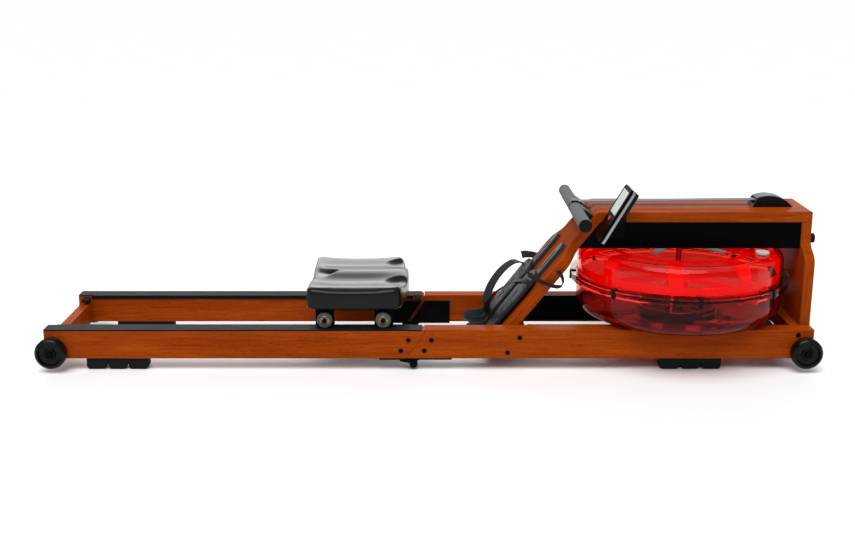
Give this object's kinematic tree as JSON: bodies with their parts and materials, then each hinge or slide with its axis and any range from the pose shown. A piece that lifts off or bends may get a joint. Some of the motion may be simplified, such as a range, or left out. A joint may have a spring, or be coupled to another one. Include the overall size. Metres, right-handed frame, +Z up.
{
  "type": "rowing machine",
  "caption": "Folding wooden water rower: sliding seat on rails, inclined footrests with straps, pull handle on a webbing strap, round red water tank and tilting monitor.",
  "frame": {"origin": "on the floor, in the middle of the machine's footprint", "axes": "+X along the rails towards the water tank, +Y to the rower's left, +Z up"},
  "size_m": [1.964, 0.566, 0.4609],
  "materials": {
    "cherry_wood": "clear gloss lacquer",
    "black_steel": "satin black powder coat",
    "bright_steel": "zinc plated",
    "track_black": "fine satin",
    "rubber_black": "matte",
    "wheel_black": "satin gloss",
    "red_clear": "clear red, glossy",
    "smoke_clear": "clear, faint red tint",
    "red_plastic": "gloss",
    "black_plastic": "satin",
    "panel_black": "gloss black",
    "white_plastic": "gloss",
    "grey_plastic": "satin",
    "webbing_grey": "woven",
    "webbing_black": "woven",
    "foam_grey": "foam, matte",
    "seat_black": "moulded urethane, gloss",
    "roller_grey": "urethane",
    "screen_green": "LCD behind a lens",
    "button_red": "gloss",
    "spring_steel": "oiled"
  },
  "bodies": {
    "front_axle": {"front_axle": "bright_steel"},
    "front_frame": {"front_rail_right": "cherry_wood", "front_rail_left": "cherry_wood", "foot_board": "cherry_wood", "top_board": "cherry_wood", "front_panel": "cherry_wood", "board_cleats": "cherry_wood", "side_panels": "panel_black", "tank_bearers": "black_steel", "front_feet": "rubber_black", "front_frame_bolts": "black_steel", "hinge_plates_front": "black_steel", "tank_upper_shell": "red_clear", "tank_lower_shell": "smoke_clear", "tank_gasket": "rubber_black", "tank_clips": "black_plastic", "tank_insert": "red_plastic", "tank_base": "black_plastic", "bearing_spider": "grey_plastic", "pulley_frame": "black_steel", "pulley_cover": "black_plastic", "drive_strap": "webbing_grey", "handle_cradle": "black_plastic", "storage_bumpers": "rubber_black", "monitor_bracket": "black_plastic", "foot_rails": "black_plastic"},
    "rear_frame": {"rear_rail_right": "cherry_wood", "rear_rail_left": "cherry_wood", "rear_cross_board": "cherry_wood", "seat_tracks": "track_black", "seat_stops": "rubber_black", "rear_feet": "rubber_black", "rear_frame_bolts": "bright_steel", "hinge_plates_rear": "black_steel"},
    "front_wheel_right": {"front_wheel_right": "wheel_black"},
    "front_wheel_left": {"front_wheel_left": "wheel_black"},
    "rear_wheel_right": {"rear_wheel_right": "wheel_black"},
    "rear_wheel_left": {"rear_wheel_left": "wheel_black"},
    "seat": {"seat_pad": "seat_black", "seat_frame": "black_steel", "seat_axles": "black_steel"},
    "rollers_front": {"rollers_front": "roller_grey"},
    "rollers_rear": {"rollers_rear": "roller_grey"},
    "handle": {"handle_bar": "bright_steel", "handle_grips": "foam_grey", "handle_fittings": "rubber_black"},
    "top_pulley": {"top_pulley": "black_plastic"},
    "strap_drum": {"strap_drum": "black_plastic", "recoil_spring": "spring_steel"},
    "rotor": {"rotor_shaft": "bright_steel", "rotor_paddles": "red_plastic"},
    "tank_plug": {"tank_plug": "white_plastic"},
    "monitor": {"monitor_bezel": "grey_plastic", "monitor_screen": "screen_green", "monitor_case": "black_plastic"},
    "monitor_button": {"monitor_button": "button_red"},
    "footplate_right": {"footplate_right": "black_plastic", "foot_strap_right": "webbing_black"},
    "footplate_left": {"footplate_left": "black_plastic", "foot_strap_left": "webbing_black"}
  },
  "joints": [
    {"name": "front_lift", "type": "hinge", "parent": "front_axle", "child": "front_frame", "pos_m": [0.943, 0, 0.049], "axis": [0, 1, 0], "range_deg": [0, 56]},
    {"name": "fold", "type": "hinge", "parent": "front_frame", "child": "rear_frame", "pos_m": [-0.038, 0, 0.015], "axis": [0, -1, 0], "range_deg": [0, 119]},
    {"name": "front_wheel_right_spin", "type": "hinge", "parent": "front_axle", "child": "front_wheel_right", "pos_m": [0.943, -0.195, 0.049], "axis": [0, 1, 0], "continuous": true},
    {"name": "front_wheel_left_spin", "type": "hinge", "parent": "front_axle", "child": "front_wheel_left", "pos_m": [0.943, 0.195, 0.049], "axis": [0, 1, 0], "continuous": true},
    {"name": "rear_wheel_right_spin", "type": "hinge", "parent": "rear_frame", "child": "rear_wheel_right", "pos_m": [-0.943, -0.195, 0.049], "axis": [0, 1, 0], "continuous": true},
    {"name": "rear_wheel_left_spin", "type": "hinge", "parent": "rear_frame", "child": "rear_wheel_left", "pos_m": [-0.943, 0.195, 0.049], "axis": [0, 1, 0], "continuous": true},
    {"name": "seat_slide", "type": "slide", "parent": "rear_frame", "child": "seat", "axis": [1, 0, 0], "range_m": [-0.64, 0.045]},
    {"name": "rollers_front_spin", "type": "hinge", "parent": "seat", "child": "rollers_front", "pos_m": [-0.114, 0, 0.1248], "axis": [0, 1, 0], "range_deg": [-1885, 135]},
    {"name": "rollers_rear_spin", "type": "hinge", "parent": "seat", "child": "rollers_rear", "pos_m": [-0.261, 0, 0.1248], "axis": [0, 1, 0], "range_deg": [-1885, 135]},
    {"name": "handle_pull", "type": "slide", "parent": "front_frame", "child": "handle", "axis": [-1, 0, 0], "range_m": [0, 1.15], "stiffness_N_per_m": 8, "springref_m": -0.8, "deforming": ["drive_strap"]},
    {"name": "top_pulley_spin", "type": "hinge", "parent": "front_frame", "child": "top_pulley", "pos_m": [0.872, 0, 0.367], "axis": [0, -1, 0], "range_deg": [0, 1863]},
    {"name": "strap_drum_spin", "type": "hinge", "parent": "front_frame", "child": "strap_drum", "pos_m": [0.652, 0, 0.326], "axis": [0, 0, -1], "range_deg": [0, 1374]},
    {"name": "rotor_spin", "type": "hinge", "parent": "front_frame", "child": "rotor", "pos_m": [0.652, 0, 0.2], "axis": [0, 0, -1], "continuous": true},
    {"name": "tank_plug_lift", "type": "slide", "parent": "front_frame", "child": "tank_plug", "axis": [0, 0, 1], "range_m": [0, 0.03]},
    {"name": "monitor_tilt", "type": "hinge", "parent": "front_frame", "child": "monitor", "pos_m": [0.479, -0.116, 0.379], "axis": [0, 1, 0], "range_deg": [-20, 25]},
    {"name": "monitor_button_press", "type": "slide", "parent": "monitor", "child": "monitor_button", "axis": [0.866, 0, -0.5], "range_m": [0, 0.0015], "stiffness_N_per_m": 400, "springref_m": -0.001},
    {"name": "footplate_right_slide", "type": "slide", "parent": "front_frame", "child": "footplate_right", "axis": [0.6225, 0, 0.7826], "range_m": [-0.025, 0.035]},
    {"name": "footplate_left_slide", "type": "slide", "parent": "front_frame", "child": "footplate_left", "axis": [0.6225, 0, 0.7826], "range_m": [-0.025, 0.035]}
  ],
  "couplings": [
    {"joint": "fold", "follows": "front_lift", "ratio": 2.12},
    {"joint": "rollers_front_spin", "follows": "seat_slide", "rad_per_m": 51.282},
    {"joint": "rollers_rear_spin", "follows": "seat_slide", "rad_per_m": 51.282},
    {"joint": "top_pulley_spin", "follows": "handle_pull", "rad_per_m": 28.249},
    {"joint": "strap_drum_spin", "follows": "handle_pull", "rad_per_m": 20.833}
  ]
}
